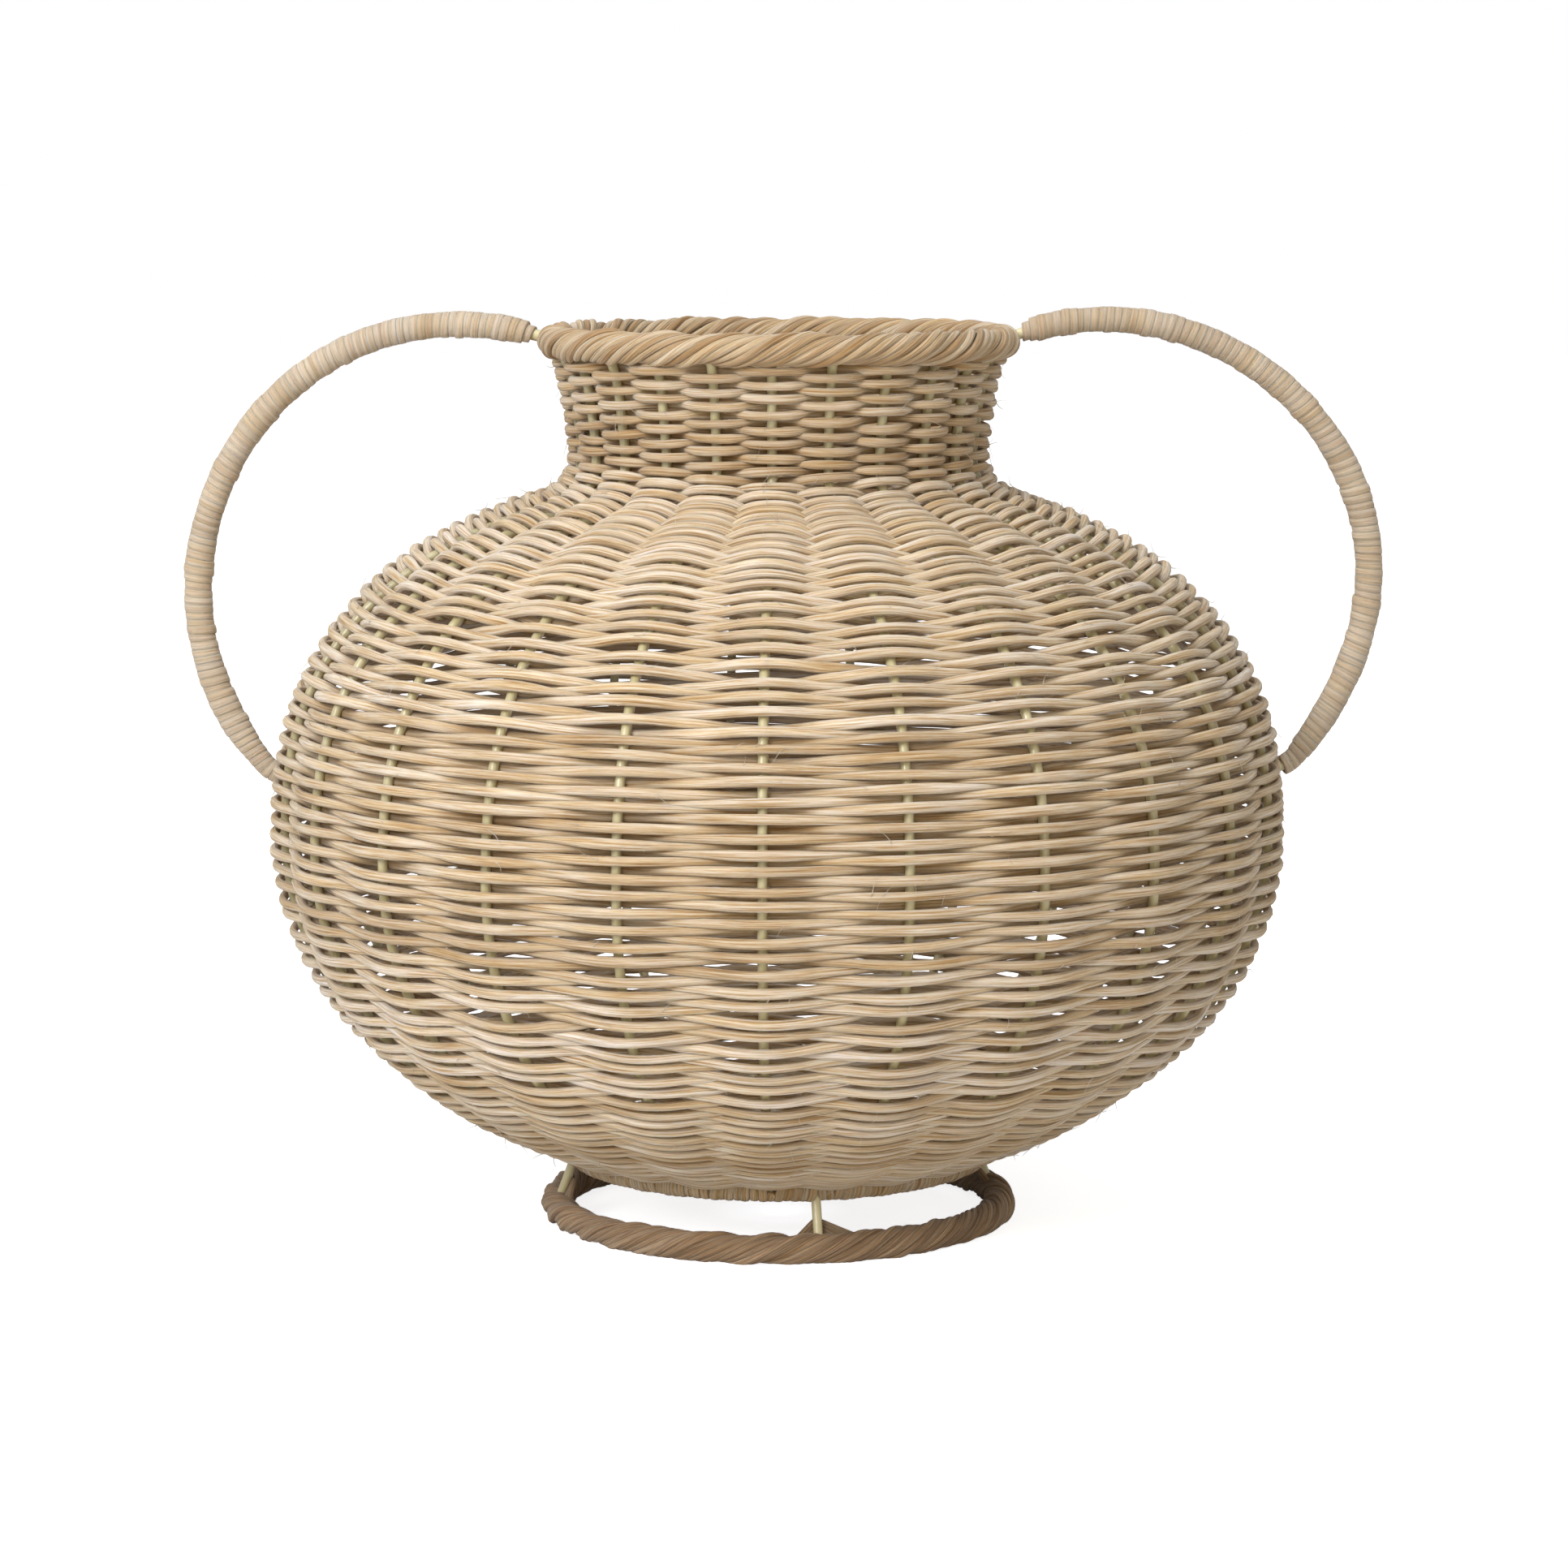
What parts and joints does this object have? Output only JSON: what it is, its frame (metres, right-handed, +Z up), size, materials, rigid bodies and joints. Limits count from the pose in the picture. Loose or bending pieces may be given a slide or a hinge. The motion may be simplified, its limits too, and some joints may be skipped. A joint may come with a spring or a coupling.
{
  "type": "rattan vase",
  "caption": "Round-bellied woven rattan vase with a short neck, a rope rim, two wound arch handles and an open rope ring foot on wire posts.",
  "frame": {"origin": "centre of the circle that the foot rope stands on, at floor level", "axes": "+Z up; X through both handles; the picture looks along +Y from the front"},
  "size_m": [0.3548, 0.2982, 0.2703],
  "materials": {
    "rattan": "natural rattan core, matt to satin",
    "handle_rattan": "pale rattan peel, satin",
    "foot_rattan": "darker twisted rattan, matt",
    "wire": "khaki paint, semi-gloss"
  },
  "bodies": {
    "root": {"base_ring": "wire", "base_ring_wrap": "rattan", "base_weaver": "rattan", "foot_post_1": "wire", "foot_post_2": "wire", "foot_post_3": "wire", "foot_post_4": "wire", "foot_ring": "wire", "foot_rope": "foot_rattan", "handle_core_left": "wire", "handle_core_right": "wire", "handle_wrap_left": "handle_rattan", "handle_wrap_right": "handle_rattan", "hub_ring": "wire", "rim_ring": "wire", "rim_rope": "rattan", "spoke_01": "wire", "spoke_02": "wire", "spoke_03": "wire", "spoke_04": "wire", "spoke_05": "wire", "spoke_06": "wire", "spoke_07": "wire", "spoke_08": "wire", "spoke_09": "wire", "spoke_10": "wire", "spoke_11": "wire", "stake_01": "wire", "stake_02": "wire", "stake_03": "wire", "stake_04": "wire", "stake_05": "wire", "stake_06": "wire", "stake_07": "wire", "stake_08": "wire", "stake_09": "wire", "stake_10": "wire", "stake_11": "wire", "stake_12": "wire", "stake_13": "wire", "stake_14": "wire", "stake_15": "wire", "stake_16": "wire", "stake_17": "wire", "stake_18": "wire", "stake_19": "wire", "stake_20": "wire", "stake_21": "wire", "stake_22": "wire", "stake_23": "wire", "weaver_1": "rattan", "weaver_2": "rattan", "weaver_3": "rattan", "weaver_4": "rattan", "weaver_5": "rattan", "weaver_6": "rattan"}
  },
  "joints": []
}
